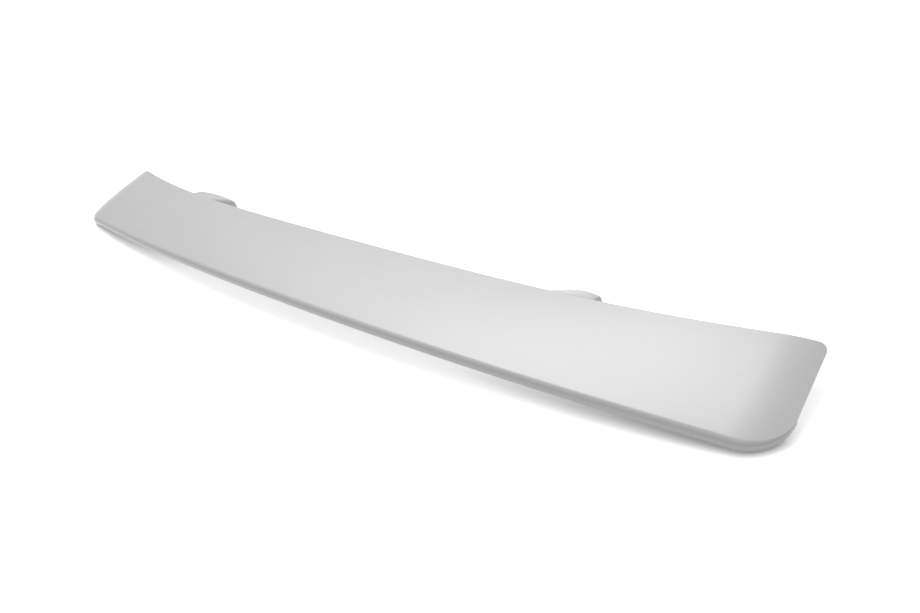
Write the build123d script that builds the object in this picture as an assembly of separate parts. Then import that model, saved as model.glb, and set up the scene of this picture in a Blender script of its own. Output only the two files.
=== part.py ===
"""Roof spoiler, moulded in one piece.

A thin bowed and crowned shell runs across the car. Its trailing edge is rolled into a round nose
with a return lip underneath, its ends droop and roll over, and its leading edge is thin. Two hollow
feet ramp out and down from the leading edge and end in flat bonding pads. X is across the car, +Y is
forward and +Z is up. Lengths are in millimetres.
"""
from build123d import *
from math import atan2, cos, hypot, radians, sin, sqrt, tan
import os

# Plan
overall_length = 1200.0    # across the trailing corners
chord = 118.0              # leading edge to nose, on the centre line
end_rake = 6.0            # each leading corner lies this far inboard of its trailing corner
lead_bow = 18.5            # the leading edge comes forward this much, evenly, to its corners
lead_sweep = 33.0          # and this much more, gathered towards the corners
trail_bow = 36.0           # the same two for the nose
trail_sweep = 7.5
trail_corner_radius = 38.0
lead_corner_radius = 10.0

# Heights
panel_fall = 12.7          # fall of the panel from its leading edge to the nose, on the centre line
panel_camber = 2.0         # rise of the panel's arch above the straight line between the two
lead_crown = 10.0          # fall of the leading edge from its middle to its corners
trail_crown = 22.5         # fall of the nose from its middle to its corners
droop_width = 150.0        # the ends bend down further over this width
droop_depth = 3.0
roll_width = 45.0          # and roll over within this width
roll_depth = 4.8

# Section
wall = 2.8
nose_height = 14.7         # outside height of the rolled nose
end_edge_height = 3.2      # what is left of the roll where it dies out round the corner
lip_width = 14.0           # return lip under the nose
end_lip_width = 2.0        # what is left of the lip at the ends
end_wall = 1.2             # what is left there of the wall round the nose

# Feet
foot_place = 347.0         # middle of each foot from the centre line
foot_width = 52.0
foot_inner_reach = 37.0    # each foot runs forward of the leading edge this far at its inner side
foot_outer_reach = 17.0    # and this far at its outer side
foot_inner_round = 16.0    # radius over the front at the inner side
foot_outer_round = 8.0     # and at the outer side
foot_ramp = 26.0           # degrees that the top of a foot falls forward
foot_bend = 10.0           # radius of the bend from the panel into that ramp
foot_edge_round = 4.0      # radius along both sides of that top and front
foot_root = 16.0           # depth of the foot under the panel
foot_sink = 0.2            # the foot's top starts this far under the panel's, so that it stays inside
pad_thickness = 3.5        # bonding pad under each foot

station_count = 24         # sections of the loft between the middle and each end, closer towards the end

half_length = overall_length / 2


def passed(x, width):
    """Share of an end zone of the given width that has been passed at x, from 0 to 1 at the end."""
    return max(abs(x) - half_length + width, 0.0) / width


def lead_y(x):
    """Plan of the leading edge, which reaches its full bow at the leading corners."""
    share = x / (half_length - end_rake)
    return lead_bow * share**2 + lead_sweep * share**4


def trail_y(x):
    """Plan of the nose before its corners are rounded."""
    share = x / half_length
    return -chord + trail_bow * share**2 + trail_sweep * share**4


def panel_z(x, y):
    """Height of the panel's top above the middle of its leading edge, before the ends roll over."""
    share = x / half_length
    back = (lead_y(x) - y) / (lead_y(x) - trail_y(x))
    lead_z = -lead_crown * share**2
    trail_z = -panel_fall - trail_crown * share**2
    outboard = passed(x, droop_width)
    arch = 4 * panel_camber * back * (1 - back)
    return lead_z + (trail_z - lead_z) * back + arch - droop_depth * outboard**2


def section(station):
    """Closed section of the shell at one station, turned a little towards the raked end.

    It runs round the top, the nose, the return lip and back along the inside. Round the trailing corner
    the nose and the lip die out as the circle of the corner comes forward.
    """
    live = sqrt(1 - passed(station, trail_corner_radius)**2)
    rolled = passed(station, roll_width)
    roll_slope = 2 * roll_depth * rolled / roll_width
    rear_y = trail_y(station) + trail_corner_radius * (1 - live)
    front_x = station - end_rake * station / half_length
    front_y = lead_y(front_x) - lead_corner_radius * (1 - sqrt(1 - passed(station, lead_corner_radius)**2))
    run = hypot(front_x - station, front_y - rear_y)
    forward = ((front_x - station) / run, (front_y - rear_y) / run)
    plane = Plane(origin=(station, rear_y, 0), x_dir=(*forward, 0), z_dir=(forward[1], -forward[0], 0))

    def top(along):
        """Point of the panel's top at a distance from the nose."""
        height = panel_z(station + forward[0] * along, rear_y + forward[1] * along)
        return Vector(along, height - roll_depth * rolled**2)

    radius = (end_edge_height + (nose_height - end_edge_height) * live) / 2
    lip = end_lip_width + (lip_width - end_lip_width) * live
    nose_wall = end_wall + (wall - end_wall) * live
    lead = top(run)
    rear_slope = atan2(top(radius).Y - top(0).Y, radius)
    crest = top(radius * (1 - sin(rear_slope)))
    middle = top((lead.X + crest.X) / 2)
    knee = middle * 2 - (lead + crest) * 0.5
    slope = atan2(knee.Y - crest.Y, knee.X - crest.X)
    inward = Vector(sin(slope), -cos(slope))
    hub = crest + inward * radius
    tail = hub - Vector(radius, 0)
    foot_of_nose = hub - Vector(0, radius)
    under = Vector(0, nose_wall)
    below = Vector(0, wall * hypot(1, roll_slope))
    bore = radius - nose_wall
    lip_end = foot_of_nose + Vector(lip, 0)
    inner_crest = crest + inward * nose_wall
    with BuildSketch(plane) as sketch:
        with BuildLine():
            Bezier(lead, knee, crest)
            ThreePointArc(crest, tail, foot_of_nose)
            Polyline(foot_of_nose, lip_end, lip_end + under, foot_of_nose + under)
            ThreePointArc(foot_of_nose + under, hub - Vector(bore, 0), inner_crest)
            Bezier(inner_crest, knee - below, lead - below)
            Line(lead - below, lead)
        make_face()
    return sketch.sketch.face()


def shell():
    """The whole shell, lofted through its sections from one end to the other."""
    half = [half_length * sin(radians(90 * i / station_count)) for i in range(station_count + 1)]
    mirrored = [-station for station in reversed(half[1:])]
    return loft([section(station) for station in mirrored + half])


def foot_section(x, reach, front_round, inset, floor_z):
    """Side view of a foot at one of its sides: along the panel, down the ramp, round the front and back.

    The inset takes the wall off the top and the front. The inside also runs out behind the foot, so that
    its back is open, and stops above the pad. The outside runs on below the floor.
    """
    edge_y = lead_y(x)
    back_y = edge_y - foot_root * (2 if inset else 1)
    top_z = panel_z(x, edge_y) - foot_sink - inset
    front_y = edge_y + reach - inset
    front_z = top_z - (reach - inset) * tan(radians(foot_ramp))
    pad_z = floor_z + pad_thickness * (1 if inset else -1)
    back_z = panel_z(x, edge_y - foot_root) - foot_sink - inset
    with BuildSketch(Plane(origin=(x, 0, 0), x_dir=(0, 1, 0), z_dir=(1, 0, 0))) as sketch:
        with BuildLine():
            top = FilletPolyline(
                (back_y, back_z), (edge_y, top_z), (front_y, front_z), (front_y, pad_z),
                radius=[foot_bend, front_round - inset],
            )
            Polyline(top @ 1, (back_y, pad_z), top @ 0)
        make_face()
    return sketch.sketch.face()


def foot(floor_z):
    """The right-hand foot, a hollow boot with an open back, cut off flat at the floor under its pad."""
    inner_x = foot_place - foot_width / 2
    outer_x = foot_place + foot_width / 2
    taper = (foot_outer_reach - foot_inner_reach) / foot_width * wall
    outside = loft([
        foot_section(inner_x, foot_inner_reach, foot_inner_round, 0, floor_z),
        foot_section(outer_x, foot_outer_reach, foot_outer_round, 0, floor_z),
    ])
    side_edges = [
        side.edges().sort_by(Axis.Z)[1:].sort_by(Axis.Y)[1:]
        for side in outside.faces().filter_by(Axis.X)
    ]
    outside = fillet(side_edges[0] + side_edges[1], foot_edge_round)
    inside = loft([
        foot_section(inner_x + wall, foot_inner_reach + taper, foot_inner_round, wall, floor_z),
        foot_section(outer_x - wall, foot_outer_reach - taper, foot_outer_round, wall, floor_z),
    ])
    return split(outside - inside, bisect_by=Plane.XY.offset(floor_z), keep=Keep.TOP)


skin = shell()
right_foot = foot(skin.bounding_box().min.Z)
spoiler = skin + right_foot + mirror(right_foot, about=Plane.YZ)

# The origin is on the ground under the middle of the part
box = spoiler.bounding_box()
spoiler = Pos(0, -box.center().Y, -box.min.Z) * spoiler

os.makedirs("parts", exist_ok=True)
export_step(spoiler, "parts/spoiler.step")
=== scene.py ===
import bmesh
import bpy
import numpy as np
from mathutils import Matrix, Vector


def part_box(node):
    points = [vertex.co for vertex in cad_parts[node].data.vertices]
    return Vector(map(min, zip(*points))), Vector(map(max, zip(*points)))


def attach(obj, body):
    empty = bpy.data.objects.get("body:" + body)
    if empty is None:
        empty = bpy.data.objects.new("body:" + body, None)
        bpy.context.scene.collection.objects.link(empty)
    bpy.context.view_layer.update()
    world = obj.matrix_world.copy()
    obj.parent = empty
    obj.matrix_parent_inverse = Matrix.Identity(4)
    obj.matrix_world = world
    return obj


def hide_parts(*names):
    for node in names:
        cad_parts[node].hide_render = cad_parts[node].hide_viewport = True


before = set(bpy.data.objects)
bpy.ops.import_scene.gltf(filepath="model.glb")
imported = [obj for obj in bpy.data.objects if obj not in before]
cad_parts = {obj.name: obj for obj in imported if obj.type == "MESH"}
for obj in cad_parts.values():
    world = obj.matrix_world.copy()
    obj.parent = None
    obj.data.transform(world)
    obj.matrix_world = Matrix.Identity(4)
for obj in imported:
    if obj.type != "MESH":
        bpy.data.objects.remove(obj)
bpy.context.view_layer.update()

# The shell of the roof spoiler: a thin panel of moulded plastic, bowed in plan and crowned along its length.
# Its trailing edge is rolled to a round nose with a return lip, and its ends droop and roll over.
# It is held by the two feet under its leading edge. Lengths are in metres.
low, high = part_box("spoiler")
half_length = high[0]
chord = 0.118
end_rake = 0.006                            # each leading corner lies this far inboard of its trailing one
lead_bow, lead_sweep = 0.0185, 0.033        # the edges come forward evenly, and more towards the corners
trail_bow, trail_sweep = 0.036, 0.0075
trail_corner_radius = 0.038
lead_corner_radius = 0.010
panel_fall = 0.0127                         # from the leading edge to the nose
panel_camber = 0.002
lead_crown, trail_crown = 0.010, 0.0225     # fall of the two edges from the middle to the ends
droop_width, droop_depth = 0.150, 0.003
roll_width, roll_depth = 0.045, 0.0048
wall = 0.0028
nose_height = 0.0147
end_edge_height = 0.0032                    # what is left at the ends of the nose, the lip and its wall
lip_width, end_lip_width = 0.014, 0.002
end_wall = 0.0012
lead_middle = np.array([0.0, low[1] + chord, high[2]])
station_count = 361
panel_steps, nose_steps, lip_steps, bore_steps = 30, 22, 5, 16


def passed(x, width):
    """Share of an end zone of that width that has been passed at x, from 0 to 1 at the end."""
    return np.maximum(np.abs(x) - half_length + width, 0.0) / width


def lead_y(x):
    """Plan of the leading edge: a square plus a fourth power of the share of the half length."""
    share = x / (half_length - end_rake)
    return lead_bow * share**2 + lead_sweep * share**4


def trail_y(x):
    """Plan of the nose, by the same two powers, one chord behind the leading edge."""
    share = x / half_length
    return -chord + trail_bow * share**2 + trail_sweep * share**4


def panel_z(x, y):
    """Height of the panel: straight from the leading edge to the nose, plus a camber arch, less the droop.

    The two edges fall by a square of the share of the half length, and the droop by a square of its zone.
    """
    share = x / half_length
    back = (lead_y(x) - y) / (lead_y(x) - trail_y(x))
    lead_z = -lead_crown * share**2
    trail_z = -panel_fall - trail_crown * share**2
    arch = 4 * panel_camber * back * (1 - back)
    return lead_z + (trail_z - lead_z) * back + arch - droop_depth * passed(x, droop_width)**2


def bezier(points, count):
    """A square-law curve from the first point to the third, pulled towards the second."""
    t = np.linspace(0, 1, count)[:, None, None]
    return (1 - t)**2 * points[0] + 2 * t * (1 - t) * points[1] + t**2 * points[2]


def arc(hub, radius, start, stop, count):
    """Points at a radius round a hub, at even angles from start to stop."""
    angle = start + (stop - start) * np.linspace(0, 1, count)[:, None]
    return np.stack([hub[0] + radius * np.cos(angle), hub[1] + radius * np.sin(angle)], 1)


def line(start, stop, count):
    """Even points on a straight run."""
    t = np.linspace(0, 1, count)[:, None, None]
    return start * (1 - t) + stop * t


def shell_rings():
    """Closed sections of the shell, one for each station from the left end to the right.

    A section stands on the line from the nose to the leading edge. It runs along the panel, round the
    nose, along the return lip and back along the inside. Stations follow a sine, so they crowd at the ends,
    where the corner circle comes forward, the nose and lip die out and the panel rolls down by a square.
    """
    station = half_length * np.sin(np.radians(np.linspace(-90, 90, station_count)))
    live = np.sqrt(np.maximum(1 - passed(station, trail_corner_radius)**2, 0))
    lead_live = np.sqrt(np.maximum(1 - passed(station, lead_corner_radius)**2, 0))
    rolled = passed(station, roll_width)
    rear_y = trail_y(station) + trail_corner_radius * (1 - live)
    front_x = station - end_rake * station / half_length
    front_y = lead_y(front_x) - lead_corner_radius * (1 - lead_live)
    run = np.hypot(front_x - station, front_y - rear_y)
    forward = np.stack([front_x - station, front_y - rear_y]) / run

    def top(along):
        """Points of the panel's top at a distance from the nose."""
        height = panel_z(station + forward[0] * along, rear_y + forward[1] * along)
        return np.stack([along, height - roll_depth * rolled**2])

    radius = (end_edge_height + (nose_height - end_edge_height) * live) / 2
    lip = end_lip_width + (lip_width - end_lip_width) * live
    lead = top(run)
    rear_slope = np.arctan2(top(radius)[1] - top(0 * radius)[1], radius)
    crest = top(radius * (1 - np.sin(rear_slope)))
    middle = top((lead[0] + crest[0]) / 2)
    knee = 2 * middle - (lead + crest) / 2
    slope = np.arctan2(knee[1] - crest[1], knee[0] - crest[0])
    inward = np.stack([np.sin(slope), -np.cos(slope)])
    hub = crest + inward * radius
    nose_wall = end_wall + (wall - end_wall) * live
    flat = np.zeros_like(radius)
    under = np.stack([flat, nose_wall])
    below = np.stack([flat, wall * np.hypot(1, 2 * roll_depth * rolled / roll_width)])
    nose_foot = hub - np.stack([flat, radius])
    lip_end = nose_foot + np.stack([lip, flat])
    inner_crest = crest + inward * nose_wall
    crest_angle = np.pi / 2 + slope
    foot_angle = np.full_like(slope, 1.5 * np.pi)
    section = np.concatenate([
        bezier([lead, knee, crest], panel_steps)[:-1],
        arc(hub, radius, crest_angle, foot_angle, nose_steps)[:-1],
        line(nose_foot, lip_end, lip_steps)[:-1],
        lip_end[None],
        line(lip_end + under, nose_foot + under, lip_steps)[:-1],
        arc(hub, radius - nose_wall, foot_angle, crest_angle, bore_steps)[:-1],
        bezier([inner_crest, knee - below, lead - below], panel_steps),
    ])
    rings = np.stack([
        station + forward[0] * section[:, 0],
        rear_y + forward[1] * section[:, 0],
        section[:, 1],
    ], -1)
    return rings.transpose(1, 0, 2) + lead_middle


def ring_mesh(name, rings):
    """A closed skin over rings of equal point counts, with its two end rings filled.

    Where the signed volume under its corners is negative, the faces point inwards and are turned round.
    """
    ring_count, point_count = rings.shape[:2]
    near = np.arange(ring_count - 1)[:, None] * point_count
    far = near + point_count
    here = np.arange(point_count)
    after = np.roll(here, -1)
    quads = np.stack([near + here, near + after, far + after, far + here], -1)
    last = (ring_count - 1) * point_count
    faces = quads.reshape(-1, 4).tolist() + [here[::-1].tolist(), (last + here).tolist()]
    mesh = bpy.data.meshes.new(name)
    mesh.from_pydata(rings.reshape(-1, 3), [], faces)
    volume = np.sum(np.cross(rings[:-1], np.roll(rings[:-1], -1, 1)) * rings[1:])
    if volume < 0:
        mesh.flip_normals()
    return mesh


def linked(name, data):
    """Object for a mesh, lamp or camera, in the scene."""
    piece = bpy.data.objects.new(name, data)
    bpy.context.scene.collection.objects.link(piece)
    return piece


eased_edge = 0.0005
eased_steps = 2
sharp_turn = np.radians(40)


def ease_edges(piece):
    """Smooth shading, and sharp edges eased as a mould leaves them."""
    piece.data.shade_smooth()
    ease = piece.modifiers.new("eased edges", "BEVEL")
    ease.width = eased_edge
    ease.segments = eased_steps
    ease.limit_method = "ANGLE"
    ease.angle_limit = sharp_turn
    ease.harden_normals = True


moulding = linked("moulding", ring_mesh("moulding", shell_rings()))
ease_edges(moulding)

# The two feet: hollow boots of the same moulding that ramp out and down from the leading edge.
# Each ends in a flat pad that is bonded to the roof. Pairs of values are for its inner and its outer side.
foot_place = 0.3442
foot_width = 0.0576
foot_reach = 0.0384, 0.0142                 # forward of the leading edge
foot_round = 0.0128, 0.0064                 # over the front
foot_ramp = np.radians([33.6, 16.4])
foot_edge_round = 0.006, 0.003
foot_bulge = 0.003
foot_bend = 0.010                           # from the panel into the ramp
foot_root = 0.016                           # depth under the panel
foot_rise = 0.00005                         # a hair above the leading edge, so that the two join cleanly
foot_sink = 0.0006                          # and below the panel behind it
least_round = 0.002
pad_thickness = 0.0035
bend_steps, edge_steps, width_steps = 14, 9, 11
sharp_edges = 0, 0
sliver = 0.000001


def rounded(points, radii, count):
    """A run of straight pieces with arcs at its inner corners; each point is an array over the sections.

    An arc's hub lies on the corner's bisector, at the radius over the cosine of half the turn.
    """
    pieces = [points[0][None]]
    for before, corner, after, radius in zip(points, points[1:], points[2:], radii):
        into = (corner - before) / np.linalg.norm(corner - before, axis=0)
        out = (after - corner) / np.linalg.norm(after - corner, axis=0)
        turn = np.arccos(np.sum(into * out, 0))
        half = (out - into) / np.linalg.norm(out - into, axis=0)
        hub = corner + half * radius / np.cos(turn / 2)
        share = np.linspace(-0.5, 0.5, count)[:, None, None] * turn
        side = (into + out) / np.linalg.norm(into + out, axis=0)
        pieces.append(hub + radius * (side * np.sin(share) - half * np.cos(share)))
    return np.concatenate(pieces + [points[-1][None]])


def blend(pair, share):
    """Straight blend from the inner side's value to the outer side's."""
    return pair[0] + (pair[1] - pair[0]) * share


def foot_rings(inset, edge_round):
    """Side views of the right foot from its inner to its outer side, as straight blends between the two.

    A side view runs along the panel, down the ramp, round the front to the floor and back. The inset takes
    the wall off, and the inside then runs out behind the foot and stops above the pad. Near each side the
    view shrinks by a quarter circle, which rounds the edge there. Between the sides the front bulges by a
    square.
    """
    width = foot_width - 2 * inset
    quarter = np.linspace(0, np.pi / 2, edge_steps)
    inner, outer = edge_round
    middle = np.linspace(inner, width - outer, width_steps)[1:-1]
    shrink = np.concatenate([inner * (1 - np.sin(quarter)), 0 * middle, outer * (1 - np.cos(quarter))])
    across = np.concatenate([
        inner * (1 - np.cos(quarter)), middle, width - outer * (1 - np.sin(quarter)),
    ]) + inset
    share = across / foot_width
    x = foot_place - foot_width / 2 + across
    edge = lead_y(x)
    root = edge - foot_root * (2 if inset else 1)
    off = inset + shrink
    top = panel_z(x, edge) + foot_rise - off
    bulge = 4 * foot_bulge * share * (1 - share)
    front = edge + blend(foot_reach, share) + bulge - off
    front_top = top - (front - edge) * np.tan(blend(foot_ramp, share))
    front_round = np.maximum(blend(foot_round, share) - off, least_round)
    floor_z = np.full_like(x, (pad_thickness if inset else 0) - lead_middle[2])
    root_top = panel_z(x, edge - foot_root) - foot_sink - off
    corners = [np.stack(p) for p in ((root, root_top), (edge, top), (front, front_top), (front, floor_z))]
    view = np.concatenate([
        rounded(corners, [foot_bend, front_round], bend_steps), np.stack([root, floor_z])[None],
    ])
    rings = np.stack([np.broadcast_to(x, view[:, 0].shape), view[:, 0], view[:, 1]], -1)
    return rings.transpose(1, 0, 2) + lead_middle


def combine(piece, others, operation):
    """Cut the others out of a piece, or melt them into it."""
    for other in others:
        step = piece.modifiers.new("combine", "BOOLEAN")
        step.operation = operation
        step.object = other
    mesh = bpy.data.meshes.new_from_object(piece.evaluated_get(bpy.context.evaluated_depsgraph_get()))
    piece.modifiers.clear()
    piece.data = mesh
    for other in others:
        bpy.data.objects.remove(other)


feet = []
for hand, side in (("right", 1), ("left", -1)):
    name = hand + "_foot"
    to_side = np.array([side, 1, 1])
    foot = linked(name, ring_mesh(name, foot_rings(0, foot_edge_round) * to_side))
    inside = linked(name + "_inside", ring_mesh(name + "_inside", foot_rings(wall, sharp_edges) * to_side))
    combine(foot, [inside], "DIFFERENCE")
    ease_edges(foot)
    feet.append(foot)
combine(moulding, feet, "UNION")
clean = bmesh.new()
clean.from_mesh(moulding.data)
bmesh.ops.dissolve_degenerate(clean, dist=sliver, edges=clean.edges)
clean.to_mesh(moulding.data)
clean.free()
moulding.data.shade_smooth()
moulding.data.set_sharp_from_angle(angle=sharp_turn)
even = moulding.modifiers.new("even shading", "WEIGHTED_NORMAL")
even.keep_sharp = True

# The finish of the whole moulding: sanded grey primer, a satin film that is nearly even in colour.
# It has faint clouds and fine lines where it was rubbed down, a slight orange peel, and a few scuffs
# and pin marks.
mm = 0.001
cloud_size = 70 * mm
peel_size = 2.5 * mm
rub_length, rub_width = 30 * mm, 0.8 * mm   # real rubbing lines are finer, and would not show
peel_height, rub_height = 0.03 * mm, 0.01 * mm
peel_strength, rub_strength = 0.25, 0.20
least_rough, most_rough = 0.30, 0.36
scuff_drop = 6.0
scuff_core = 0.2
scuffs = [
    # place, then length and width, in millimetres, turn in degrees, strength
    ((540.7, 17.6, 29.2), (3.0, 2.0), 25, 0.60),
    ((544.2, 18.0, 29.0), (3.2, 1.4), 25, 0.32),
    ((-276.7, 15.1, 42.1), (10.0, 5.0), 10, 0.20),
    ((-111.4, 4.9, 44.1), (11.0, 4.0), -13, 0.18),
    ((516.4, -20.0, 24.0), (8.0, 3.5), 20, 0.11),
    ((550.5, -25.3, 20.3), (2.2, 2.2), 0, 0.28),
    ((570.2, 49.6, 31.9), (6.0, 4.0), 30, 0.10),
]


def from_hex(text):
    """Linear colour of an sRGB hex value, by the standard's straight foot and power curve."""
    value = np.array([int(text[i:i + 2], 16) for i in (1, 3, 5)]) / 255
    linear = np.where(value > 0.04045, ((value + 0.055) / 1.055)**2.4, value / 12.92)
    return (*linear, 1.0)


def add_node(owner, kind, values=None, links=None, **settings):
    """One node of a material or world, with its settings, socket values and links."""
    node = owner.node_tree.nodes.new(kind)
    for key, value in settings.items():
        setattr(node, key, value)
    for key, value in (values or {}).items():
        node.inputs[key].default_value = value
    for key, socket in (links or {}).items():
        owner.node_tree.links.new(socket, node.inputs[key])
    return node


def new_material(name):
    """An empty node material."""
    material = bpy.data.materials.new(name)
    material.use_nodes = True
    material.node_tree.nodes.clear()
    return material


primer = new_material("sanded_grey_primer")
on_part = add_node(primer, "ShaderNodeTexCoord").outputs["Object"]
clouds = add_node(
    primer, "ShaderNodeTexNoise", {"Scale": 1 / cloud_size, "Detail": 3.0}, {"Vector": on_part},
).outputs[0]
film = add_node(
    primer, "ShaderNodeMix", {"A": from_hex("#cccccc"), "B": from_hex("#d3d3d3")}, {"Factor": clouds},
    data_type="RGBA",
)
for place, size, turn, strength in scuffs:
    local = add_node(primer, "ShaderNodeMapping", {
        "Location": [v * mm for v in place],
        "Rotation": (0, 0, np.radians(turn)),
        "Scale": [v * mm / 2 for v in (*size, scuff_drop)],
    }, {"Vector": on_part}, vector_type="TEXTURE")
    off_middle = add_node(primer, "ShaderNodeVectorMath", links={0: local.outputs[0]}, operation="LENGTH")
    share = add_node(
        primer, "ShaderNodeMapRange",
        {"From Min": scuff_core, "From Max": 1.0, "To Min": strength, "To Max": 0.0},
        {"Value": off_middle.outputs["Value"]}, interpolation_type="SMOOTHSTEP",
    )
    film = add_node(
        primer, "ShaderNodeMix", {"B": from_hex("#8a8a8a")},
        {"Factor": share.outputs[0], "A": film.outputs["Result"]}, data_type="RGBA",
    )
satin = add_node(
    primer, "ShaderNodeMapRange", {"To Min": least_rough, "To Max": most_rough}, {"Value": clouds},
)
peel = add_node(primer, "ShaderNodeTexNoise", {"Scale": 1 / peel_size, "Detail": 1.0}, {"Vector": on_part})
rubbed = add_node(
    primer, "ShaderNodeMapping", {"Scale": (1 / rub_length, 1 / rub_width, 1 / rub_width)},
    {"Vector": on_part},
)
lines = add_node(
    primer, "ShaderNodeTexNoise", {"Scale": 1.0, "Detail": 2.0}, {"Vector": rubbed.outputs[0]},
)
peeled = add_node(
    primer, "ShaderNodeBump", {"Strength": peel_strength, "Distance": peel_height},
    {"Height": peel.outputs[0]},
)
relief = add_node(
    primer, "ShaderNodeBump", {"Strength": rub_strength, "Distance": rub_height},
    {"Height": lines.outputs[0], "Normal": peeled.outputs[0]},
)
coat = add_node(primer, "ShaderNodeBsdfPrincipled", {"IOR": 1.8}, {
    "Base Color": film.outputs["Result"], "Roughness": satin.outputs[0], "Normal": relief.outputs[0],
})
add_node(primer, "ShaderNodeOutputMaterial", links={"Surface": coat.outputs[0]})
moulding.data.materials.append(primer)
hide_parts("spoiler")
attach(moulding, "root")

# The floor and backdrop: one flat sheet of white paper. To the camera and in mirrored rays it glows up to
# plain white, but less where the part stands close over it, so that it keeps the part's shadow.
floor_reach = 6.0
shadow_reach = 0.020
shadow_samples = 16
covered, uncovered = 0.3, 0.85              # shares of open sky between which the glow rises
least_glow, most_glow = 0.2, 0.68
paper = new_material("white_paper")
sheet = add_node(paper, "ShaderNodeBsdfDiffuse", {"Color": from_hex("#dcdcdc")})
open_sky = add_node(
    paper, "ShaderNodeAmbientOcclusion", {"Distance": shadow_reach}, samples=shadow_samples,
)
lift = add_node(
    paper, "ShaderNodeMapRange",
    {"From Min": covered, "From Max": uncovered, "To Min": least_glow, "To Max": most_glow},
    {"Value": open_sky.outputs["AO"]},
)
ray = add_node(paper, "ShaderNodeLightPath")
seen = add_node(paper, "ShaderNodeMath", links={
    0: ray.outputs["Is Camera Ray"], 1: ray.outputs["Is Glossy Ray"],
}, operation="ADD")
seen = add_node(paper, "ShaderNodeMath", links={
    0: seen.outputs[0], 1: ray.outputs["Is Transmission Ray"],
}, operation="ADD", use_clamp=True)
white = add_node(
    paper, "ShaderNodeMath", links={0: lift.outputs[0], 1: seen.outputs[0]}, operation="MULTIPLY",
)
glow = add_node(paper, "ShaderNodeEmission", {"Color": from_hex("#ffffff")}, {"Strength": white.outputs[0]})
both = add_node(paper, "ShaderNodeAddShader", links={0: sheet.outputs[0], 1: glow.outputs[0]})
add_node(paper, "ShaderNodeOutputMaterial", links={"Surface": both.outputs[0]})
floor_corners = np.array([(-1, -1, 0), (1, -1, 0), (1, 1, 0), (-1, 1, 0)]) * floor_reach
floor_mesh = bpy.data.meshes.new("floor")
floor_mesh.from_pydata(floor_corners, [], [(0, 1, 2, 3)])
floor_mesh.materials.append(paper)
floor = linked("floor", floor_mesh)

# Studio light: a large soft lamp above and behind the part, a dim card beside it on the left, and the room.
# The room shows white to the camera alone, because the satin film mirrors a dimmer one.
part_middle = np.array([0.2, 0.0, 0.03])
lamp_distance = 5.0
room_light = 0.40
world = bpy.data.worlds.new("white_room")
bpy.context.scene.world = world
world.use_nodes = True
walls = world.node_tree.nodes["Background"]
walls.inputs["Color"].default_value = from_hex("#ffffff")
room_ray = add_node(world, "ShaderNodeLightPath")
room = add_node(
    world, "ShaderNodeMapRange", {"To Min": room_light, "To Max": 1.0},
    {"Value": room_ray.outputs["Is Camera Ray"]},
)
world.node_tree.links.new(room.outputs[0], walls.inputs["Strength"])


def set_pose(holder, right, up, back, place):
    """Set an object's three axes and its place."""
    pose = np.eye(4)
    pose[:3] = np.stack([right, up, back, place], 1)
    holder.matrix_world = pose.T.tolist()


def soft_lamp(name, azimuth, elevation, size, power):
    """An oblong area lamp that faces the part, by compass angle from +X and height angle, in degrees."""
    around, up = np.radians([azimuth, elevation])
    back = np.array([np.cos(around) * np.cos(up), np.sin(around) * np.cos(up), np.sin(up)])
    right = np.cross((0, 0, 1), back)
    right /= np.linalg.norm(right)
    lamp = bpy.data.lights.new(name, "AREA")
    lamp.shape = "RECTANGLE"
    lamp.size, lamp.size_y = size
    lamp.energy = power
    set_pose(linked(name, lamp), right, np.cross(back, right), back, part_middle + lamp_distance * back)


soft_lamp("overhead_softbox", 139, 65, (3.4, 3.2), 145)
soft_lamp("left_card", 152, 38, (3.0, 1.8), 20)

# The camera: at the photograph's viewing angle, low over the right-hand end and rolled a little.
photo_width = 920
focal_pixels = 850
azimuth, elevation, tilt = np.radians([49.26, 33.75, -15.60])
camera_place = np.array([0.81598, -0.50943, 0.54759])
back = np.array([
    np.sin(azimuth) * np.cos(elevation), -np.cos(azimuth) * np.cos(elevation), np.sin(elevation),
])
level = np.array([np.cos(azimuth), np.sin(azimuth), 0])
upright = np.cross(back, level)
lens = bpy.data.cameras.new("camera")
lens.sensor_fit = "HORIZONTAL"
lens.sensor_width = 36
lens.lens = lens.sensor_width * focal_pixels / photo_width
lens.clip_start = 0.01
camera = linked("camera", lens)
set_pose(
    camera,
    level * np.cos(tilt) + upright * np.sin(tilt),
    upright * np.cos(tilt) - level * np.sin(tilt),
    back,
    camera_place,
)
bpy.context.scene.camera = camera
bpy.context.scene.view_settings.view_transform = "Standard"
